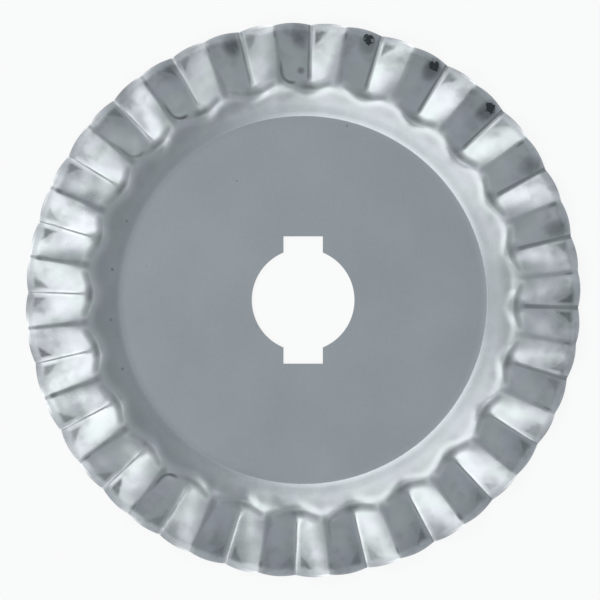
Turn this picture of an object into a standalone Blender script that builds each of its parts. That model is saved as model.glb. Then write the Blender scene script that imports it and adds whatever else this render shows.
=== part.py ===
"""Pinking rotary blade, 45 mm: one disc of thin stainless sheet, stamped and then ground.

It lies flat with its marked side up. From the middle outwards it has an arbor hole with two
key slots, a flat hub that the cutter's washers clamp, a drawn shoulder that lifts the sheet
out of the hub's plane, and a skirt pressed into radial pleats. The skirt ends in a scalloped
cutting edge, ground from both sides. Units are metres, +Z is up and Z = 0 is the table,
on which the underside of the hub lies.
"""

import math

import bmesh
import bpy

MM = 0.001

# The blank
BLADE_DIAMETER = 45.0 * MM
SHEET_GAUGE = 0.3 * MM

# The arbor hole and its key slots, one towards +Y and one towards -Y
ARBOR_DIAMETER = 8.35 * MM
KEY_SLOT_WIDTH = 3.2 * MM
KEY_SLOT_SPAN = 10.35 * MM

# The drawn shoulder: a short step at the hub's edge, a gentle band, and the ramp that climbs
# to the ridges. The ridges leave the ramp this far outside the groove heads.
CREASE_ROUNDING = 0.2 * MM
STEP_WIDTH = 0.3 * MM
STEP_SLOPE = math.tan(math.radians(27))
BAND_WIDTH = 0.85 * MM
BAND_SLOPE = math.tan(math.radians(17))
RAMP_WIDTH = 1.2 * MM
RAMP_SLOPE = math.tan(math.radians(29))
RAMP_ROUNDING = 0.9 * MM
RIDGE_OFFSET = 0.45 * MM

# The pleats: ridges that climb a little towards the rim, and grooves that fall towards it.
# Each groove starts as a level ledge off the ramp and drops over a lip, bowed like a scoop.
PLEAT_COUNT = 24
FIRST_RIDGE_ANGLE = math.radians(5.9)
PLEAT_LENGTH = 4.75 * MM
RIDGE_CLIMB = math.tan(math.radians(3))
RIDGE_ROUNDING = 0.25 * MM
GROOVE_FALL = math.tan(math.radians(5))
GROOVE_FLOOR_WIDTH = 0.2 * MM
HEAD_LEDGE = 0.52 * MM
HEAD_ROUNDING = 0.5 * MM
HEAD_BOW = 0.75 * MM
LIP_WIDTH = 0.33 * MM
LIP_HEIGHT = 0.42 * MM

# The ground edge
BEVEL_WIDTH = 0.65 * MM
EDGE_LAND = 0.03 * MM
EDGE_SCALLOP = 0.15 * MM

# How finely the sheet is divided
STEPS_PER_FLANK = 5
RAMP_ROW_COUNT = 2
FLANK_ROW_COUNT = 2
ARBOR_SIDES = 64

RIM_RADIUS = BLADE_DIAMETER / 2
BEVEL_RADIUS = RIM_RADIUS - BEVEL_WIDTH
FOOT_RADIUS = RIM_RADIUS - PLEAT_LENGTH
LIP_RADIUS = FOOT_RADIUS - LIP_WIDTH
HEAD_RADIUS = LIP_RADIUS - HEAD_LEDGE
RIDGE_RADIUS = HEAD_RADIUS + RIDGE_OFFSET
RAMP_RADIUS = RIDGE_RADIUS - RAMP_WIDTH
BAND_RADIUS = RAMP_RADIUS - BAND_WIDTH
HUB_RADIUS = BAND_RADIUS - STEP_WIDTH
PLEAT_PITCH = 2 * math.pi / PLEAT_COUNT

STEEL_COLOUR = (0.56, 0.58, 0.59, 1.0)
STEEL_ROUGHNESS = 0.28
SMOOTH_ANGLE = math.radians(22)


def soft_corner(x, width):
    """max(x, 0) with its corner rounded over that width."""
    half = width / 2
    if x <= -half:
        return 0.0
    if x >= half:
        return x
    return (x + half) ** 2 / (2 * width)


def shoulder_height(radius):
    """Height of the ridges over the hub: the step, the band, the ramp and the ridges' climb."""
    height = STEP_SLOPE * soft_corner(radius - HUB_RADIUS, CREASE_ROUNDING)
    height += (BAND_SLOPE - STEP_SLOPE) * max(radius - BAND_RADIUS, 0.0)
    height += (RAMP_SLOPE - BAND_SLOPE) * max(radius - RAMP_RADIUS, 0.0)
    return height + (RIDGE_CLIMB - RAMP_SLOPE) * soft_corner(radius - RIDGE_RADIUS, RAMP_ROUNDING)


def half_pleat(radius):
    """Distance from a ridge's crest to the middle of the next groove's floor."""
    return radius * PLEAT_PITCH / 2


def flank_fall(radius, from_crest):
    """Distance down a flank of slope 1, from a rounded crest to a narrow flat floor."""
    rounding = RIDGE_ROUNDING / 2
    if from_crest < rounding:
        return from_crest ** 2 / (2 * rounding)
    floor = half_pleat(radius) - GROOVE_FLOOR_WIDTH / 2
    return min(from_crest, floor) - rounding / 2


def groove_depth(radius, from_crest):
    """Depth of the pressed grooves under the ridges' level."""
    past = radius - head_bow(radius, from_crest)
    depth = RAMP_SLOPE * soft_corner(past - HEAD_RADIUS, HEAD_ROUNDING)
    depth += (RIDGE_CLIMB - RAMP_SLOPE) * soft_corner(past - RIDGE_RADIUS, RAMP_ROUNDING)
    depth += LIP_HEIGHT * min(max((past - LIP_RADIUS) / LIP_WIDTH, 0.0), 1.0)
    depth += GROOVE_FALL * max(past - FOOT_RADIUS, 0.0)
    return depth * flank_fall(radius, from_crest) / flank_fall(radius, half_pleat(radius))


def head_bow(radius, from_crest):
    """How much further out the groove's head lies here than on the groove's middle line."""
    return HEAD_BOW * (1 - from_crest / half_pleat(radius)) ** 2


def between(start, end, count):
    """count values spaced evenly after start, the last of them end."""
    return [start + (end - start) * (i + 1) / count for i in range(count)]


def row_radii():
    """Radii of the rings of points, from the hub's edge to the rim."""
    rows = [HUB_RADIUS - CREASE_ROUNDING / 2, HUB_RADIUS + CREASE_ROUNDING / 2]
    rows += [BAND_RADIUS, RAMP_RADIUS]
    rows += between(RAMP_RADIUS, HEAD_RADIUS - HEAD_ROUNDING / 2, RAMP_ROW_COUNT)
    rows += [HEAD_RADIUS + HEAD_ROUNDING / 2, LIP_RADIUS]
    rows += [FOOT_RADIUS] + between(FOOT_RADIUS, BEVEL_RADIUS, FLANK_ROW_COUNT)
    rows += [RIM_RADIUS]
    return rows


def polar(radius, angle, height):
    return (radius * math.cos(angle), radius * math.sin(angle), height)


def flat_blank():
    """The uncut blank: a line of edges on the first ridge spun about Z, the hub one face."""
    blank = bmesh.new()
    spot = [blank.verts.new(polar(radius, FIRST_RIDGE_ANGLE, 0)) for radius in row_radii()]
    line = [blank.edges.new(pair) for pair in zip(spot, spot[1:])]
    bmesh.ops.spin(
        blank,
        geom=spot + line,
        cent=(0, 0, 0),
        axis=(0, 0, 1),
        steps=PLEAT_COUNT * 2 * STEPS_PER_FLANK,
        angle=2 * math.pi,
        use_merge=True,
    )
    inner = [e for e in blank.edges if e.is_boundary and e.verts[0].co.length < HUB_RADIUS]
    bmesh.ops.contextual_create(blank, geom=inner)
    bmesh.ops.recalc_face_normals(blank, faces=blank.faces)
    if blank.faces[-1].normal.z < 0:
        bmesh.ops.reverse_faces(blank, faces=blank.faces)
    return blank


def column_place(radius, step):
    """Distance from the crest of the given column, so that columns run along the folds."""
    crest = RIDGE_ROUNDING / 2
    groove = half_pleat(radius)
    places = (0, crest / 2, crest, groove / 2, groove - GROOVE_FLOOR_WIDTH / 2, groove)
    return places[step]


def bowed(radius, step):
    """Bends the rows near the groove heads so that they follow the heads' bow."""
    inside = (radius - RAMP_RADIUS) / (HEAD_RADIUS - HEAD_ROUNDING / 2 - RAMP_RADIUS)
    outside = (BEVEL_RADIUS - radius) / (BEVEL_RADIUS - FOOT_RADIUS)
    weight = min(max(min(inside, outside), 0.0), 1.0)
    return radius + weight * head_bow(radius, column_place(radius, step))


def scalloped(radius, from_crest):
    """Draws the edge in at every fold, so that each facet's edge bulges a little."""
    reach = max(radius - BEVEL_RADIUS, 0.0) / BEVEL_WIDTH
    from_middle = 2 * from_crest / half_pleat(radius) - 1
    return radius - EDGE_SCALLOP * from_middle ** 2 * reach


def press(blank):
    """Stamps the blank: draws the shoulder, presses the pleats and trims the edge."""
    for vert in blank.verts:
        turn = (math.atan2(vert.co.y, vert.co.x) - FIRST_RIDGE_ANGLE) / PLEAT_PITCH
        ridge = round(turn)
        step = round((turn - ridge) * 2 * STEPS_PER_FLANK)
        radius = bowed(vert.co.xy.length, abs(step))
        from_crest = column_place(radius, abs(step))
        swing = math.copysign(from_crest / radius, step)
        angle = FIRST_RIDGE_ANGLE + ridge * PLEAT_PITCH + swing
        height = shoulder_height(radius) - groove_depth(radius, from_crest)
        vert.co = polar(scalloped(radius, from_crest), angle, height)


def stainless():
    """Polished cold-rolled stainless steel."""
    steel = bpy.data.materials.new("blade_stainless")
    steel.use_nodes = True
    shader = steel.node_tree.nodes["Principled BSDF"]
    shader.inputs["Base Color"].default_value = STEEL_COLOUR
    shader.inputs["Metallic"].default_value = 1.0
    shader.inputs["Roughness"].default_value = STEEL_ROUGHNESS
    return steel


def grind(sheet):
    """Gives the sheet its gauge, thinned to a narrow land at the edge by the grinding."""
    ground = sheet.vertex_groups.new(name="gauge")
    for vert in sheet.data.vertices:
        at_edge = vert.co.xy.length > (BEVEL_RADIUS + RIM_RADIUS) / 2
        ground.add([vert.index], EDGE_LAND / SHEET_GAUGE if at_edge else 1.0, "REPLACE")
    wall = sheet.modifiers.new("gauge", "SOLIDIFY")
    wall.thickness = SHEET_GAUGE
    wall.offset = 0
    wall.use_even_offset = True
    wall.use_quality_normals = True
    wall.vertex_group = ground.name


def pierce(sheet, tools):
    """Punches the arbor hole and its key slots through the hub."""
    reach = 4 * SHEET_GAUGE
    bpy.ops.mesh.primitive_cylinder_add(
        vertices=ARBOR_SIDES, radius=ARBOR_DIAMETER / 2, depth=2 * reach
    )
    hole_punch = bpy.context.object
    hole_punch.name = "hole_punch"
    bpy.ops.mesh.primitive_cube_add(size=1)
    key_punch = bpy.context.object
    key_punch.name = "key_punch"
    key_punch.scale = (KEY_SLOT_WIDTH, KEY_SLOT_SPAN, 2 * reach)
    for punch in (hole_punch, key_punch):
        move_to(punch, tools)
        punch.hide_render = True
        punch.display_type = "WIRE"
        cut = sheet.modifiers.new(punch.name, "BOOLEAN")
        cut.operation = "DIFFERENCE"
        cut.solver = "EXACT"
        cut.object = punch


def move_to(obj, collection):
    for old in list(obj.users_collection):
        old.objects.unlink(obj)
    collection.objects.link(obj)


def new_collection(name):
    collection = bpy.data.collections.new(name)
    bpy.context.scene.collection.children.link(collection)
    return collection


def lay_on_table(obj, tools):
    """Lifts the blade and its punches until its lowest point is at Z = 0."""
    bpy.context.view_layer.update()
    shape = obj.evaluated_get(bpy.context.evaluated_depsgraph_get())
    lowest = min(vert.co.z for vert in shape.data.vertices)
    for each in [obj, *tools.objects]:
        each.location.z -= lowest


def build_blade(parts, tools):
    blank = flat_blank()
    press(blank)
    mesh = bpy.data.meshes.new("blade")
    blank.to_mesh(mesh)
    blank.free()
    blade = bpy.data.objects.new("blade", mesh)
    parts.objects.link(blade)
    mesh.materials.append(stainless())
    mesh.shade_smooth()
    mesh.set_sharp_from_angle(angle=SMOOTH_ANGLE)
    grind(blade)
    pierce(blade, tools)
    lay_on_table(blade, tools)


def main():
    for obj in list(bpy.data.objects):
        bpy.data.objects.remove(obj)
    parts = new_collection("pinking_rotary_blade")
    tools = new_collection("punches")
    build_blade(parts, tools)


main()
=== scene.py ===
import math
import random

import bmesh
import bpy
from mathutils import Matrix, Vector, noise


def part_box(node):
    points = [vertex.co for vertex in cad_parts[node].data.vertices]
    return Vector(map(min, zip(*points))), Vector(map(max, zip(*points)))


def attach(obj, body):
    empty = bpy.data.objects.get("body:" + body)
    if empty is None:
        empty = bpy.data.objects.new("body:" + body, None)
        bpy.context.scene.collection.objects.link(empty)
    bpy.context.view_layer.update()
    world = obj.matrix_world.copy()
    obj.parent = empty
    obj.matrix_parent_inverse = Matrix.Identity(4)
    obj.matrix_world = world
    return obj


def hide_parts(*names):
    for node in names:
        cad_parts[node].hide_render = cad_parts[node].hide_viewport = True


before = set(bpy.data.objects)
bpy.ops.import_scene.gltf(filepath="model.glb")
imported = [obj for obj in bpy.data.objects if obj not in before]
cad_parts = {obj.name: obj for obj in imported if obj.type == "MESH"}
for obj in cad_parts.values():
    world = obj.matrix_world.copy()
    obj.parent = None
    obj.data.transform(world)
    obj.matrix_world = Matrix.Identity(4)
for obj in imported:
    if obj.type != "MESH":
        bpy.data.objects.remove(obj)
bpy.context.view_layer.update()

# The blade: one disc of cold-rolled stainless sheet, 0.3 mm thick. It is blanked, stamped in
# one stroke into a flat hub, a drawn shoulder and a skirt of pleats, pierced for the cutter's
# arbor, and ground from both sides to an edge that leaves a narrow bevel round its rim.
MM = 0.001
gauge = 0.3 * MM
rim_radius = 22.5 * MM
bevel_radius = rim_radius - 0.65 * MM
honed_radius = rim_radius - 0.16 * MM
hole_radius = 4.175 * MM
slot_width, slot_span = 3.2 * MM, 10.35 * MM
punch_length = 2 * MM

crease_radius = 15.0 * MM
crease_slope, crease_length = math.tan(math.radians(27)), 0.3 * MM
band_slope, band_length = math.tan(math.radians(17)), 0.85 * MM
ramp_slope, ramp_length = math.tan(math.radians(29)), 1.28 * MM
crease_rounding, band_rounding, ramp_foot_rounding = 0.2 * MM, 0.4 * MM, 1.2 * MM
ramp_rounding = 1.4 * MM
band_radius = crease_radius + crease_length
ramp_radius = band_radius + band_length
ridge_radius = ramp_radius + ramp_length

pleat_count = 24
pleat_pitch = 2 * math.pi / pleat_count
first_ridge = math.radians(5.9)
ridge_climb = math.tan(math.radians(2))
groove_fall = math.tan(math.radians(6.8))
press_play = random.Random(11)
flank_crowns = [press_play.uniform(0.0, 0.08) * MM for i in range(2 * pleat_count)]
full_crown_depth = 0.7 * MM
head_play = [press_play.uniform(-0.18, 0.18) * MM for i in range(pleat_count)]
ridge_rounding, head_ridge_rounding = 0.45 * MM, 1.1 * MM
floor_width = 0.24 * MM
floor_fillet, head_floor_fillet = 0.2 * MM, 1.1 * MM
head_radius = 16.7 * MM
head_rounding = 1.0 * MM
head_reach = 1.9 * MM
head_bow, lip_bow, row_bow = 0.55 * MM, 0.2 * MM, 0.5 * MM
lip_radius, foot_radius = 17.0 * MM, 17.6 * MM
lip_height = 0.02 * MM
lip_rounding, foot_rounding = 0.4 * MM, 0.6 * MM
scallop = 0.15 * MM
bevel_rounding = 0.5 * MM
ground_off, honed_off, honed_from = 0.82, 0.1, 0.9
dents, dents_reach = 0.028 * MM, 2 * MM
wave_scale, wave_share = 0.55, 1.4
dent_scale, dent_share = 1.3, 0.8
steps_per_flank = 12


def soft_corner(x, width):
    """max(x, 0) with its corner rounded over that width."""
    if x <= -width / 2:
        return 0.0
    if x >= width / 2:
        return x
    return (x + width / 2) ** 2 / (2 * width)


def half_pleat(radius):
    """From a ridge to the middle of the next groove."""
    return radius * pleat_pitch / 2


def shoulder_height(radius):
    """Height of the ridges over the hub: a sharp crease, a gentle band, and the ramp."""
    height = crease_slope * soft_corner(radius - crease_radius, crease_rounding)
    height += (band_slope - crease_slope) * soft_corner(radius - band_radius, band_rounding)
    height += (ramp_slope - band_slope) * soft_corner(radius - ramp_radius, ramp_foot_rounding)
    return height + (ridge_climb - ramp_slope) * soft_corner(radius - ridge_radius, ramp_rounding)


def by_head(radius):
    """1 at the groove heads, fading to 0 along the pleats and towards the hub."""
    away = max(radius - lip_radius, head_radius - radius, 0.0)
    return (1 - min(away / head_reach, 1.0)) ** 2


def crest_here(radius):
    """Half the width of the rounded top of a ridge, which is widest at its inner end."""
    return (ridge_rounding + (head_ridge_rounding - ridge_rounding) * by_head(radius)) / 2


def fillet_here(radius):
    """Half the width of the curve from a flank to the floor, widest at the groove's head."""
    return (floor_fillet + (head_floor_fillet - floor_fillet) * by_head(radius)) / 2


def flank_fall(radius, from_crest):
    """Fall of a flank of slope 1, from its rounded ridge to the floor."""
    crest = crest_here(radius)
    fillet = fillet_here(radius)
    if from_crest < crest:
        return from_crest ** 2 / (2 * crest)
    floor = half_pleat(radius) - max(floor_width / 2, fillet)
    return from_crest - crest / 2 - soft_corner(from_crest - floor, 2 * fillet)


def bow_here(radius, from_crest):
    """From 0 on a groove's middle line, where its head lies furthest in, to 1 on a ridge."""
    return (1 + math.cos(math.pi * from_crest / half_pleat(radius))) / 2


def groove_depth(radius, from_crest, flank, groove):
    """Depth under the ridges. A groove leaves the ramp before they do, drops a little at the
    lip that the end of the punch left, and then falls outwards to the rim."""
    past_head = radius - head_bow * bow_here(radius, from_crest) - head_radius - head_play[groove]
    past_lip = radius - lip_bow * bow_here(radius, from_crest)
    parted = ramp_slope * soft_corner(past_head, head_rounding)
    parted += (ridge_climb - ramp_slope) * soft_corner(past_lip - ridge_radius, ramp_rounding)
    parted += groove_fall * soft_corner(past_lip - foot_radius, foot_rounding)
    dropped = soft_corner(past_lip - lip_radius, lip_rounding)
    dropped -= soft_corner(past_lip - foot_radius, foot_rounding)
    dropped *= lip_height / (foot_radius - lip_radius)
    share = flank_fall(radius, from_crest) / flank_fall(radius, half_pleat(radius))
    crown = flank_crowns[flank] * math.sin(math.pi * from_crest / half_pleat(radius))
    depth = parted * share + dropped * share ** (1 + 2 * by_head(radius))
    return depth - crown * min(parted / full_crown_depth, 1.0)


def column_places(radius):
    """Distances from the ridge of the columns of points on one flank."""
    crest = crest_here(radius)
    fillet = fillet_here(radius)
    groove = half_pleat(radius)
    floor = groove - max(floor_width / 2, fillet)
    columns = [0, crest * 0.35, crest * 0.7, crest]
    columns += [crest + (floor - fillet - crest) * part for part in (0.12, 0.3, 0.5, 0.7, 0.88)]
    columns += [floor - fillet, floor, (floor + groove) / 2, groove]
    return columns


def spread(start, end, count):
    """count values spaced evenly after start, the last of them end."""
    return [start + (end - start) * (i + 1) / count for i in range(count)]


# The radii of the rings of points, closest together where the sheet bends.
rows = [crease_radius - 1.5 * MM, crease_radius - 0.5 * MM]
rows += spread(crease_radius - 0.11 * MM, crease_radius + 0.11 * MM, 4)
rows += spread(rows[-1], band_radius + 0.13 * MM, 4)
rows += spread(rows[-1], ramp_radius - 0.4 * MM, 1)
rows += spread(rows[-1], ramp_radius + 0.4 * MM, 5)
rows += spread(rows[-1], foot_radius + foot_rounding / 2, 20)
rows += spread(rows[-1], bevel_radius - bevel_rounding / 2, 10)
rows += spread(rows[-1], bevel_radius + bevel_rounding / 2, 4)
rows += spread(rows[-1], honed_radius, 2)
rows += [rim_radius]

bpy.ops.object.select_all(action="DESELECT")
bpy.ops.mesh.primitive_circle_add(
    vertices=pleat_count * 2 * steps_per_flank,
    radius=rim_radius,
    fill_type="NGON",
    rotation=(0, 0, first_ridge - math.pi / 2),
)
sheet = bpy.context.object
sheet.name = "pleated_blade"
bpy.ops.object.transform_apply(location=False, rotation=True, scale=False)
bpy.ops.object.mode_set(mode="EDIT")
bpy.ops.mesh.select_all(action="SELECT")
for outer, inner in zip(rows[::-1], rows[-2::-1]):
    bpy.ops.mesh.inset(thickness=outer - inner)


def bowed(radius, step):
    """Bends the rows of points near the groove heads so that they follow the heads."""
    inside = (radius - ramp_radius) / (head_radius - ramp_radius)
    outside = bevel_radius - bevel_rounding / 2 - radius
    outside /= bevel_radius - bevel_rounding - foot_radius
    weight = min(max(min(inside, outside), 0.0), 1.0)
    return radius + weight * row_bow * bow_here(radius, column_places(radius)[step])


def unevenness(radius, angle, height):
    """Shallow waves and dents that the stroke of the press left in the skirt."""
    spot = Vector((radius * math.cos(angle), radius * math.sin(angle), height)) / MM
    from_hub = min(max((radius - band_radius) / dents_reach, 0.0), 1.0)
    broad = noise.noise(spot * wave_scale)
    close = noise.noise(spot * dent_scale + Vector((40, 7, 3)))
    return dents * from_hub * (wave_share * broad + dent_share * close)


mesh = bmesh.from_edit_mesh(sheet.data)
for vert in mesh.verts:
    turn = (math.atan2(vert.co.y, vert.co.x) - first_ridge) / pleat_pitch
    ridge = round(turn)
    step = round((turn - ridge) * 2 * steps_per_flank)
    radius = bowed(vert.co.xy.length, abs(step))
    from_crest = column_places(radius)[abs(step)]
    angle = first_ridge + ridge * pleat_pitch + math.copysign(from_crest / radius, step)
    flank, groove = 2 * ridge + (step > 0), ridge - (step < 0)
    height = shoulder_height(radius) - groove_depth(radius, from_crest, flank, groove)
    height += unevenness(radius, angle, height)
    from_middle = 2 * from_crest / half_pleat(radius) - 1
    past_bevel = max(radius - bevel_radius, 0.0) / (rim_radius - bevel_radius)
    radius -= scallop * from_middle ** 2 * past_bevel
    vert.co = (radius * math.cos(angle), radius * math.sin(angle), height)
bmesh.update_edit_mesh(sheet.data)
bpy.ops.object.mode_set(mode="OBJECT")

# The sheet gets its gauge on both sides of its middle, thinned where it is ground and honed.
gauge_kept = sheet.vertex_groups.new(name="gauge_kept")
for vert in sheet.data.vertices:
    radius = vert.co.xy.length
    past_bevel = soft_corner(radius - bevel_radius, bevel_rounding) / (rim_radius - bevel_radius)
    kept = 1 - ground_off * min(past_bevel, 1.0)
    if past_bevel > honed_from:
        kept -= honed_off
    gauge_kept.add([vert.index], kept, "REPLACE")
wall = sheet.modifiers.new("gauge", "SOLIDIFY")
wall.thickness = gauge
wall.offset = 0
wall.use_even_offset = True
wall.use_quality_normals = True
wall.vertex_group = gauge_kept.name
bpy.ops.object.modifier_apply(modifier=wall.name)

# The underside of the hub lies at the foot of the CAD's box.
hub_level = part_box("blade")[0].z + gauge / 2
sheet.location.z = hub_level
bpy.ops.object.transform_apply(location=True, rotation=False, scale=False)

# The arbor hole and the two key slots are pierced right through the hub.
bpy.ops.mesh.primitive_cylinder_add(
    vertices=128,
    radius=hole_radius,
    depth=punch_length,
    location=(0, 0, hub_level),
)
hole_punch = bpy.context.object
bpy.ops.mesh.primitive_cube_add(
    size=1,
    location=(0, 0, hub_level),
    scale=(slot_width, slot_span, punch_length),
)
slot_punch = bpy.context.object
for punch in (hole_punch, slot_punch):
    cut = sheet.modifiers.new("cut", "BOOLEAN")
    cut.object = punch
    bpy.ops.object.select_all(action="DESELECT")
    bpy.context.view_layer.objects.active = sheet
    bpy.ops.object.modifier_apply(modifier=cut.name)
    bpy.data.objects.remove(punch)
sheet.select_set(True)
bpy.ops.object.shade_smooth_by_angle(angle=math.radians(40))
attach(sheet, "root")
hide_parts("blade")


class Mark:
    """A value that changes over a surface, on a socket of the material's nodes."""

    def __init__(self, socket):
        self.socket = socket

    def node(self, kind, settings, sockets, output=0):
        """Adds a node with those settings and sockets, and gives one of its outputs."""
        tree = self.socket.id_data
        made = tree.nodes.new(kind)
        for name, setting in settings.items():
            setattr(made, name, setting)
        for name, value in sockets.items():
            if isinstance(value, Mark):
                tree.links.new(value.socket, made.inputs[name])
            else:
                made.inputs[name].default_value = value
        return Mark(made.outputs[output])

    def math(self, operation, *others):
        return self.node("ShaderNodeMath", {"operation": operation}, dict(enumerate((self, *others))))

    def between(self, start, end, low=0.0, high=1.0):
        """low up to start and high from end, with a soft step from one to the other."""
        sockets = {"Value": self, "From Min": start, "From Max": end, "To Min": low, "To Max": high}
        return self.node("ShaderNodeMapRange", {"interpolation_type": "SMOOTHSTEP"}, sockets)

    def tint(self, plain, marked):
        """plain where this value is 0, marked where it is 1."""
        return self.node("ShaderNodeMix", {"data_type": "RGBA"}, {0: self, 6: plain, 7: marked}, 2)

    def __add__(self, other):
        return self.math("ADD", other)

    def __radd__(self, other):
        return self.math("ADD", other)

    def __sub__(self, other):
        return self.math("SUBTRACT", other)

    def __rsub__(self, other):
        return (self * -1.0).math("ADD", other)

    def __mul__(self, other):
        return self.math("MULTIPLY", other)

    def __rmul__(self, other):
        return self.math("MULTIPLY", other)

    def __truediv__(self, other):
        return self.math("DIVIDE", other)


steel = bpy.data.materials.new("stamped_stainless")
steel.use_nodes = True
shader = steel.node_tree.nodes["Principled BSDF"]
place = Mark(steel.node_tree.nodes.new("ShaderNodeTexCoord").outputs["Object"])


def along(axis):
    """Object coordinate in millimetres."""
    return place.node("ShaderNodeSeparateXYZ", {}, {0: place}, "XYZ".index(axis)) / MM


def grain(scale, detail=2.0, stretch=None, roughness=0.5):
    """Mottling from 0 to 1, scale of its cells to the millimetre."""
    spot = stretch or place
    size = scale if stretch else scale / MM
    sockets = {"Vector": spot, "Scale": size, "Detail": detail, "Roughness": roughness}
    return place.node("ShaderNodeTexNoise", {}, sockets)


def point(x, y, z):
    return place.node("ShaderNodeCombineXYZ", {}, {0: x, 1: y, 2: z})


# Where a point lies on the blade, in millimetres, and in pleats from the first ridge.
x, y = along("X"), along("Y")
radius = (x * x + y * y).math("SQRT")
pleat = (y.math("ARCTAN2", x) - first_ridge) / pleat_pitch
ridge = pleat.math("ROUND")
turned = pleat - ridge
side = turned.math("SIGN")
from_ridge = turned.math("ABSOLUTE") * pleat_pitch * radius
from_groove = radius * (pleat_pitch / 2) - from_ridge
flank_name = point(ridge.math("FLOORED_MODULO", float(pleat_count)), side, 3.0)


def chance(shift):
    """A number from 0 to 1 that differs from flank to flank."""
    shifted = place.node("ShaderNodeVectorMath", {"operation": "ADD"}, {0: flank_name, 1: (0, 0, shift)})
    return place.node("ShaderNodeTexWhiteNoise", {"noise_dimensions": "3D"}, {"Vector": shifted})


# The grains of the metal go from 0 to 1. Two more swing about 0 and make outlines ragged.
cloud = grain(0.14, 3.0)
mottle = grain(0.6, 4.0, roughness=0.6)
fleck = grain(5.0, 2.0)
blotch = grain(0.9, 3.0)
grind_lines = grain(1.0, 2.0, point(pleat * 70.0, radius * 1.5, 0.0))
ragged = (blotch - 0.5) * 1.4
ragged_fine = (grain(3.0, 3.0) - 0.5) * 0.9

# Each mark from here on is 0 where it doesn't show and about 1 where it shows in full. Radii
# and distances are in millimetres.
skirt = radius.between(15.2, 17.0)
ground_band = (radius + (blotch - 0.5) * 0.5).between(21.74, 22.1)
honed = radius.between(22.26, 22.34)

# The shoulder is duller than the pleats. Painted shade darkens the hollow groove heads, most on their
# floors, and the heads are rougher too.
bow = (from_ridge / radius * (2 * math.pi / pleat_pitch)).math("COSINE")
past_head = radius - (bow + 1.0) * 0.3
dull = radius.between(14.9, 15.4) * past_head.between(16.9, 16.1) * mottle.between(0.3, 0.7, 0.75, 1.2)
head_shade_and_dullness = past_head.between(16.8, 17.1) * past_head.between(17.8, 17.2) * from_ridge.between(0.0, 0.8)
head_floor_shade = from_groove.between(0.9, 0.15) * radius.between(16.9, 17.35) * radius.between(17.9, 17.5)
head_floor_shade = head_floor_shade * mottle.between(0.35, 0.6, 0.5, 1.0)

# Painted shade: a dark line hooks round the inner end of some flanks on the left half, and small dots
# lie where the ridges start.
corner_in = (18.5 - radius).math("MAXIMUM", 0.0)
corner_side = (1.0 - from_ridge).math("MAXIMUM", 0.0)
from_corner = (corner_side * corner_side + corner_in.math("POWER", 2.0)).math("SQRT")
hook_shade = from_corner.between(0.6, 0.84) * from_corner.between(1.08, 0.9) * radius.between(20.3, 18.6)
hook_shade = hook_shade * from_ridge.between(1.5, 0.9) * (side * y).between(2.0, -2.0) * x.between(9.0, -3.0)
hook_shade = hook_shade * chance(12.0).between(0.1, 0.6) * mottle.between(0.3, 0.6, 0.6, 1.0)
hook_shade = hook_shade * y.math("ABSOLUTE").between(9.0, 13.0)
base_dot = from_ridge.between(0.2, 0.06) * (radius - 15.7).math("ABSOLUTE").between(0.17, 0.05)
base_dot = base_dot * x.between(-12.5, -14.8)

# Painted shade along the folds: a dark line along each ridge, wider at its inner end and darker on the
# left, and one along each groove, wider on the +X +Y side. The floors of the grooves also have a painted
# highlight, a bright strip, but not on the +X +Y side.
inner_end = radius.between(20.5, 17.8)
ridge_shade_line = (from_ridge / (1.0 + inner_end * 1.4)).between(0.24, 0.04) * radius.between(17.3, 17.9)
ridge_shade_line = ridge_shade_line * mottle.between(0.3, 0.7, 0.5, 1.0) * x.between(14.0, -10.0, 0.35, 1.0)
far_side = (x + y).between(4.0, 18.0)
groove_shade_line = from_groove.between(0.1, 0.03) * radius.between(17.8, 18.3) * mottle.between(0.3, 0.6, 0.4, 1.0)
far_groove_shade = from_groove.between(0.26, 0.12) * far_side * radius.between(17.6, 18.2)
groove_shade_line = groove_shade_line.math("MAXIMUM", far_groove_shade)
floor_highlight = from_groove.between(0.28, 0.16) * radius.between(17.9, 18.4) * (1.0 - far_side)

# The die left a grey wedge on both sides of the grooves' outer ends, and crimps on the ridges.
wedge = (radius - 20.5) * 0.9 + 0.25 + ragged * 0.5
die_mark = from_groove.between(0.2, 0.5) * (wedge - from_groove).between(-0.22, 0.34)
die_mark = die_mark * (radius + ragged * 0.5).between(22.1, 21.6)
die_mark = die_mark * chance(0.0).between(0.0, 1.0, 0.5, 1.0) * mottle.between(0.35, 0.6, 0.75, 1.0)
crimp = (from_ridge + ragged * 0.1).between(0.3, 0.05)
crimp = crimp * radius.between(20.9, 21.6) * radius.between(22.2, 21.7)
crimp = crimp * chance(7.0).between(0.1, 0.8, 0.3, 1.0)

# Black spots with grey round them on one side of the flanks near one pleat, darkest at that pleat.
spotted_pleat = 3.6
blot_from_groove, blot_radius, spot_radius = 0.9, 21.4, 21.75
# Counted in pleats.
from_spotted_pleat = (pleat - spotted_pleat).math("ABSOLUTE")
spotted_flanks = (turned * -1.0).between(0.0, 0.1) * from_spotted_pleat.between(4.4, 2.4, 0.2, 1.0)
blot_side = ((from_groove - blot_from_groove) / 0.8).math("POWER", 2.0)
blot_out = ((radius - blot_radius) / 1.1).math("POWER", 2.0)
blot = (blot_side + blot_out).between(1.3, 0.0) * spotted_flanks * chance(4.0).between(0.0, 1.0, 0.5, 1.0)
spot_side = ((from_groove - blot_from_groove + ragged_fine) / 0.5).math("POWER", 2.0)
spot_out = ((radius - spot_radius + ragged_fine * 1.6) / 0.4).math("POWER", 2.0)
black_spot = (spot_side + spot_out).between(1.1, 0.6) * spotted_flanks * from_spotted_pleat.between(1.9, 1.3, 0.1, 1.0)
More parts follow.
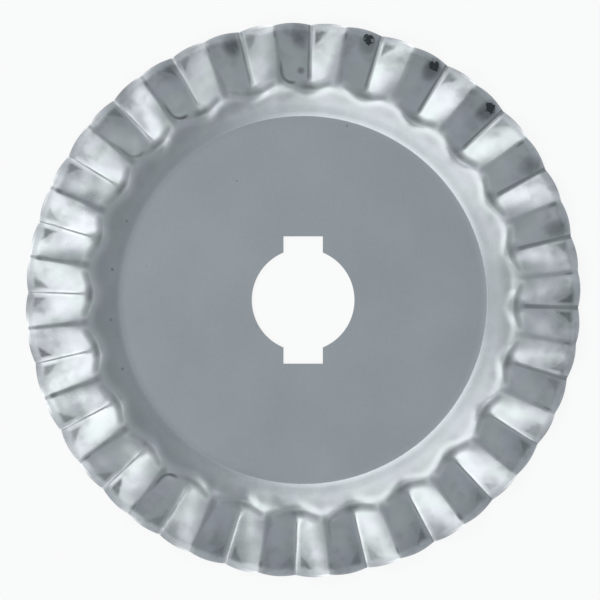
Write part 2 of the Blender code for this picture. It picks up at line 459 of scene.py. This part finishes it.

# Pits, one round speck, one scratch, smudges and a grey towards the rim.
scatter = {"Vector": place, "Scale": 0.56 / MM}
pit_size = place.node("ShaderNodeTexVoronoi", {}, scatter)
pit_colour = place.node("ShaderNodeTexVoronoi", {}, scatter, 1)
pit_chance = pit_colour.node("ShaderNodeSeparateColor", {}, {0: pit_colour})
pit = pit_size.between(0.075, 0.045) * pit_chance.between(0.86, 0.9)
speck_x, speck_y = -0.18, 18.6
speck_across, speck_up = x - speck_x, y - speck_y
speck = (speck_across * speck_across + speck_up * speck_up).math("SQRT").between(0.44, 0.08)
scratch_x, scratch_y = 20.3, -1.3
scratch_along = (x - scratch_x) - (y - scratch_y)
scratch_across = (x - scratch_x) + (y - scratch_y)
scratch = (scratch_across * 18.0 + ragged_fine * 1.5).math("COSINE").between(0.35, 0.9)
scratch = scratch * scratch_along.math("ABSOLUTE").between(0.46, 0.3)
scratch = scratch * scratch_across.math("ABSOLUTE").between(0.5, 0.4)
smudge = grain(0.42, 2.0).between(0.46, 0.7) * radius.between(17.6, 18.6) * 0.8
smudge = smudge + grain(0.8, 2.0).between(0.46, 0.72) * radius.between(18.8, 20.4)
rim_grey = radius.between(19.6, 21.6) * (1.0 - ground_band) * cloud.between(0.35, 0.65, 0.375, 1.0)

# The faint marks add up, and each of the deep ones covers what is fainter under it.
dark = 0.19 * dull + 0.2 * head_shade_and_dullness + 0.34 * head_floor_shade + 0.17 * smudge + 0.5 * blot + 0.16 * rim_grey
# The fold lines, the hooks and the groove heads among these marks are painted shade.
deep_marks = (
    (0.42, ridge_shade_line),
    (0.45, groove_shade_line),
    (0.66, hook_shade),
    (0.5, base_dot),
    (0.72, die_mark),
    (0.6, crimp),
    (0.92, black_spot),
    (0.5, speck),
    (0.35, pit),
)
for darkness, mark in deep_marks:
    dark = dark.math("MAXIMUM", darkness * mark)
# The painted highlight on the groove floors and the real scratch both lighten the colour.
highlight_and_scratch = (0.5 * floor_highlight).math("MAXIMUM", 0.7 * scratch)

# The colours: rolled on the hub, pressed on the skirt, whetted on the bevel.
rolled = (cloud * 0.5 + fleck * 0.5).tint((0.5, 0.53, 0.545, 1), (0.61, 0.64, 0.655, 1))
bluish = mottle.tint((0.53, 0.548, 0.578, 1), (0.655, 0.664, 0.692, 1))
greenish = mottle.tint((0.515, 0.553, 0.55, 1), (0.638, 0.676, 0.667, 1))
pressed = grain(0.45, 1.0).between(0.4, 0.6).tint(greenish, bluish)
whetted = grind_lines.tint((0.6, 0.63, 0.645, 1), (0.71, 0.73, 0.74, 1))
colour = skirt.tint(rolled, pressed)
colour = highlight_and_scratch.tint(colour, (0.74, 0.76, 0.77, 1))
colour = ground_band.tint(colour, whetted)
colour = honed.tint(colour, (0.8, 0.82, 0.83, 1))
# Painted shade and the real marks alike darken the colour towards near black.
colour = dark.tint(colour, (0.03, 0.036, 0.042, 1))
shine = 0.34 + (cloud - 0.5) * 0.08
shine = shine - skirt * 0.04 + skirt * (cloud - 0.5) * 0.15 + dark * 0.2 + head_shade_and_dullness * 0.35
shine = shine * (1.0 - ground_band) + ground_band * 0.46 - honed * 0.12

rolled_grain = (fleck - 0.5) * (1.0 - skirt) * 0.25
pressed_grain = (blotch - 0.5) * skirt * (1.0 - ground_band)
ground_grain = (grind_lines - 0.5) * ground_band * 0.6
relief = rolled_grain + pressed_grain + ground_grain - die_mark * 1.2 - crimp
bump = relief.node("ShaderNodeBump", {}, {"Strength": 0.5, "Distance": 0.012 * MM, "Height": relief})

shader.inputs["Metallic"].default_value = 1.0
for name, value in (("Base Color", colour), ("Roughness", shine), ("Normal", bump)):
    steel.node_tree.links.new(value.socket, shader.inputs[name])
sheet.data.materials.clear()
sheet.data.materials.append(steel)

# The table: a plain white sheet, a hair under the blade, that keeps a faint shadow of it. To
# the camera and in the steel it looks mostly as white as a lit backdrop.
table_drop = 0.02 * MM
backdrop_share = 0.87
bpy.ops.mesh.primitive_plane_add(size=4, location=(0, 0, -table_drop))
table = bpy.context.object
table.name = "table"
white = bpy.data.materials.new("white_table")
white.use_nodes = True
paint = white.node_tree.nodes["Principled BSDF"]
paint.inputs["Base Color"].default_value = (0.9, 0.9, 0.9, 1)
paint.inputs["Roughness"].default_value = 0.8
camera_ray = Mark(white.node_tree.nodes.new("ShaderNodeLightPath").outputs["Is Camera Ray"])
glossy_ray = Mark(camera_ray.socket.node.outputs["Is Glossy Ray"])
clear_ray = Mark(camera_ray.socket.node.outputs["Is Transmission Ray"])
glow = camera_ray.node("ShaderNodeEmission", {}, {"Strength": 1.0})
share = camera_ray.math("MAXIMUM", glossy_ray).math("MAXIMUM", clear_ray) * backdrop_share
seen = camera_ray.node("ShaderNodeMixShader", {}, {0: share, 1: Mark(paint.outputs[0]), 2: glow})
white.node_tree.links.new(seen.socket, white.node_tree.nodes["Material Output"].inputs[0])
table.data.materials.append(white)

# The studio: an even grey room with a large softbox on the left behind the blade and another
# on the left in front of it.
world = bpy.data.worlds.new("studio")
bpy.context.scene.world = world
world.use_nodes = True
sky = Mark(world.node_tree.nodes.new("ShaderNodeTexCoord").outputs["Generated"])
height = sky.node("ShaderNodeSeparateXYZ", {}, {0: sky}, 2)
across = sky.node("ShaderNodeSeparateXYZ", {}, {0: sky}, 0)
ceiling = across.between(-0.12, 0.12).tint((0.43, 0.46, 0.485, 1), (0.34, 0.37, 0.395, 1))
walls = height.between(0.5, 0.78).tint((0.345, 0.375, 0.405, 1), (0.43, 0.46, 0.485, 1))
room = height.between(0.88, 0.98).tint(walls, ceiling)
world.node_tree.links.new(room.socket, world.node_tree.nodes["Background"].inputs[0])


def softbox(name, azimuth, elevation, distance, size, radiance):
    """A lamp that faces the blade, with its size and distance in metres."""
    spot = Vector((
        math.cos(math.radians(azimuth)) * math.cos(math.radians(elevation)),
        math.sin(math.radians(azimuth)) * math.cos(math.radians(elevation)),
        math.sin(math.radians(elevation)),
    )) * distance
    lamp = bpy.data.lights.new(name, "AREA")
    lamp.shape = "RECTANGLE"
    lamp.size, lamp.size_y = size
    lamp.energy = radiance * math.pi * size[0] * size[1]
    holder = bpy.data.objects.new(name, lamp)
    holder.location = spot
    holder.rotation_euler = (-spot).to_track_quat("-Z", "Y").to_euler()
    bpy.context.scene.collection.objects.link(holder)


for name, azimuth in (("left_back", 124), ("left_front", 236)):
    softbox(name, azimuth, elevation=50, distance=0.7, size=(0.76, 0.39), radiance=1.33)

# The camera looks straight down on the blade from a quarter of a metre. The blade spans 555
# of the photo's 600 pixels, and its middle lies a little to the right of the photo's.
photo_width, blade_width = 600, 555
camera_height, rim_distance = 0.25, 0.249
blade_offset = 0.2555 * MM
view_width = photo_width / blade_width * 2 * rim_radius
camera = bpy.data.cameras.new("camera")
holder = bpy.data.objects.new("camera", camera)
bpy.context.scene.collection.objects.link(holder)
holder.location = (-blade_offset, 0, camera_height)
camera.lens = camera.sensor_width * rim_distance / view_width
bpy.context.scene.camera = holder
bpy.context.scene.view_settings.view_transform = "Standard"
